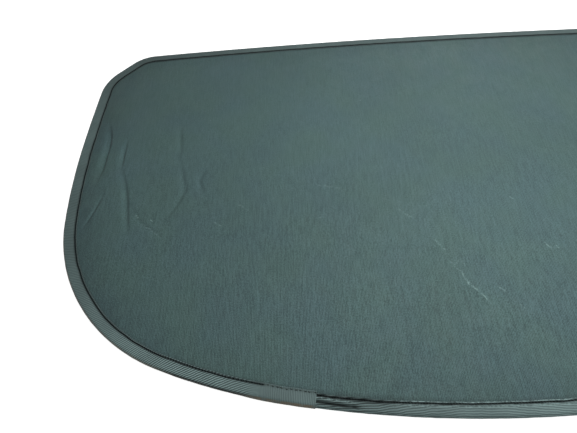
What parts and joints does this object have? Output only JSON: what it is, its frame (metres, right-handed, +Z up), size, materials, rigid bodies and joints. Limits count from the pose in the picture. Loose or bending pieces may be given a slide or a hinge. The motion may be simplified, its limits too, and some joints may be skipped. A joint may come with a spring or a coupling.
{
  "type": "tonneau cover",
  "caption": "Flexible D-shaped tonneau cover: ribbed sheet in a sewn binding over a steel hoop, with a sprung snap hook on a webbing tab at each corner.",
  "frame": {"origin": "under the middle of the cover's overall length and width, on the flat surface that it lies on", "axes": "+Z up through the sheet; +Y towards the straighter front edge; +X to the right of someone looking towards +Y; the cover is the same on both sides of X = 0 except for the binding lap and the rod sleeve"},
  "size_m": [1.1176, 0.6332, 0.0081],
  "materials": {
    "sheet": "ribbed coated cloth, semi-matt, dark slate green grey",
    "binding": "bias-cut ribbed coated cloth, semi-matt, slate green grey",
    "spring_steel": "drawn wire, bright",
    "sleeve_metal": "crimped, satin",
    "sewing_thread": "bonded polyester thread, near black",
    "lap_thread": "waxed hand-sewing thread, dark grey",
    "tab_thread": "bonded polyester thread, grey",
    "patch_cloth": "smooth coated cloth, matt",
    "webbing": "woven polyester webbing, matt black",
    "hook_plastic": "moulded acetal, fine satin black",
    "bar_metal": "plated steel, satin",
    "gate_metal": "sprung steel strip, satin",
    "pin_metal": "plated steel, satin"
  },
  "bodies": {
    "cover": {"cover_sheet": "sheet", "edge_binding": "binding", "hoop_rod": "spring_steel", "hoop_sleeve": "sleeve_metal", "needle_thread": "sewing_thread", "bobbin_thread": "sewing_thread", "lap_thread": "lap_thread", "corner_patches": "patch_cloth", "tab_threads": "tab_thread", "tab_front_right": "webbing", "tab_front_left": "webbing", "tab_rear_right": "webbing", "tab_rear_left": "webbing"},
    "hook_front_right_body": {"hook_front_right": "hook_plastic", "hook_bar_front_right": "bar_metal", "gate_pin_front_right": "pin_metal"},
    "gate_front_right_body": {"gate_front_right": "gate_metal"},
    "hook_front_left_body": {"hook_front_left": "hook_plastic", "hook_bar_front_left": "bar_metal", "gate_pin_front_left": "pin_metal"},
    "gate_front_left_body": {"gate_front_left": "gate_metal"},
    "hook_rear_right_body": {"hook_rear_right": "hook_plastic", "hook_bar_rear_right": "bar_metal", "gate_pin_rear_right": "pin_metal"},
    "gate_rear_right_body": {"gate_rear_right": "gate_metal"},
    "hook_rear_left_body": {"hook_rear_left": "hook_plastic", "hook_bar_rear_left": "bar_metal", "gate_pin_rear_left": "pin_metal"},
    "gate_rear_left_body": {"gate_rear_left": "gate_metal"}
  },
  "joints": [
    {"name": "hook_front_right_swing", "type": "hinge", "parent": "cover", "child": "hook_front_right_body", "pos_m": [0.48538, 0.23763, 0.00215], "axis": [0.6921, -0.7218, 0], "range_deg": [0, 110]},
    {"name": "gate_front_right_open", "type": "hinge", "parent": "hook_front_right_body", "child": "gate_front_right_body", "pos_m": [0.47887, 0.22404, 0.00215], "axis": [0, 0, -1], "range_deg": [0, 35], "stiffness_Nm_per_rad": 0.004, "springref_deg": -28.65},
    {"name": "hook_front_left_swing", "type": "hinge", "parent": "cover", "child": "hook_front_left_body", "pos_m": [-0.48538, 0.23763, 0.00215], "axis": [0.6921, 0.7218, 0], "range_deg": [0, 110]},
    {"name": "gate_front_left_open", "type": "hinge", "parent": "hook_front_left_body", "child": "gate_front_left_body", "pos_m": [-0.47887, 0.22404, 0.00215], "axis": [0, 0, 1], "range_deg": [0, 35], "stiffness_Nm_per_rad": 0.004, "springref_deg": -28.65},
    {"name": "hook_rear_right_swing", "type": "hinge", "parent": "cover", "child": "hook_rear_right_body", "pos_m": [0.45881, -0.14234, 0.00215], "axis": [-0.6129, -0.7902, 0], "range_deg": [0, 110]},
    {"name": "gate_rear_right_open", "type": "hinge", "parent": "hook_rear_right_body", "child": "gate_rear_right_body", "pos_m": [0.44443, -0.13788, 0.00215], "axis": [0, 0, -1], "range_deg": [0, 35], "stiffness_Nm_per_rad": 0.004, "springref_deg": -28.65},
    {"name": "hook_rear_left_swing", "type": "hinge", "parent": "cover", "child": "hook_rear_left_body", "pos_m": [-0.45881, -0.14234, 0.00215], "axis": [-0.6129, 0.7902, 0], "range_deg": [0, 110]},
    {"name": "gate_rear_left_open", "type": "hinge", "parent": "hook_rear_left_body", "child": "gate_rear_left_body", "pos_m": [-0.44443, -0.13788, 0.00215], "axis": [0, 0, 1], "range_deg": [0, 35], "stiffness_Nm_per_rad": 0.004, "springref_deg": -28.65}
  ]
}
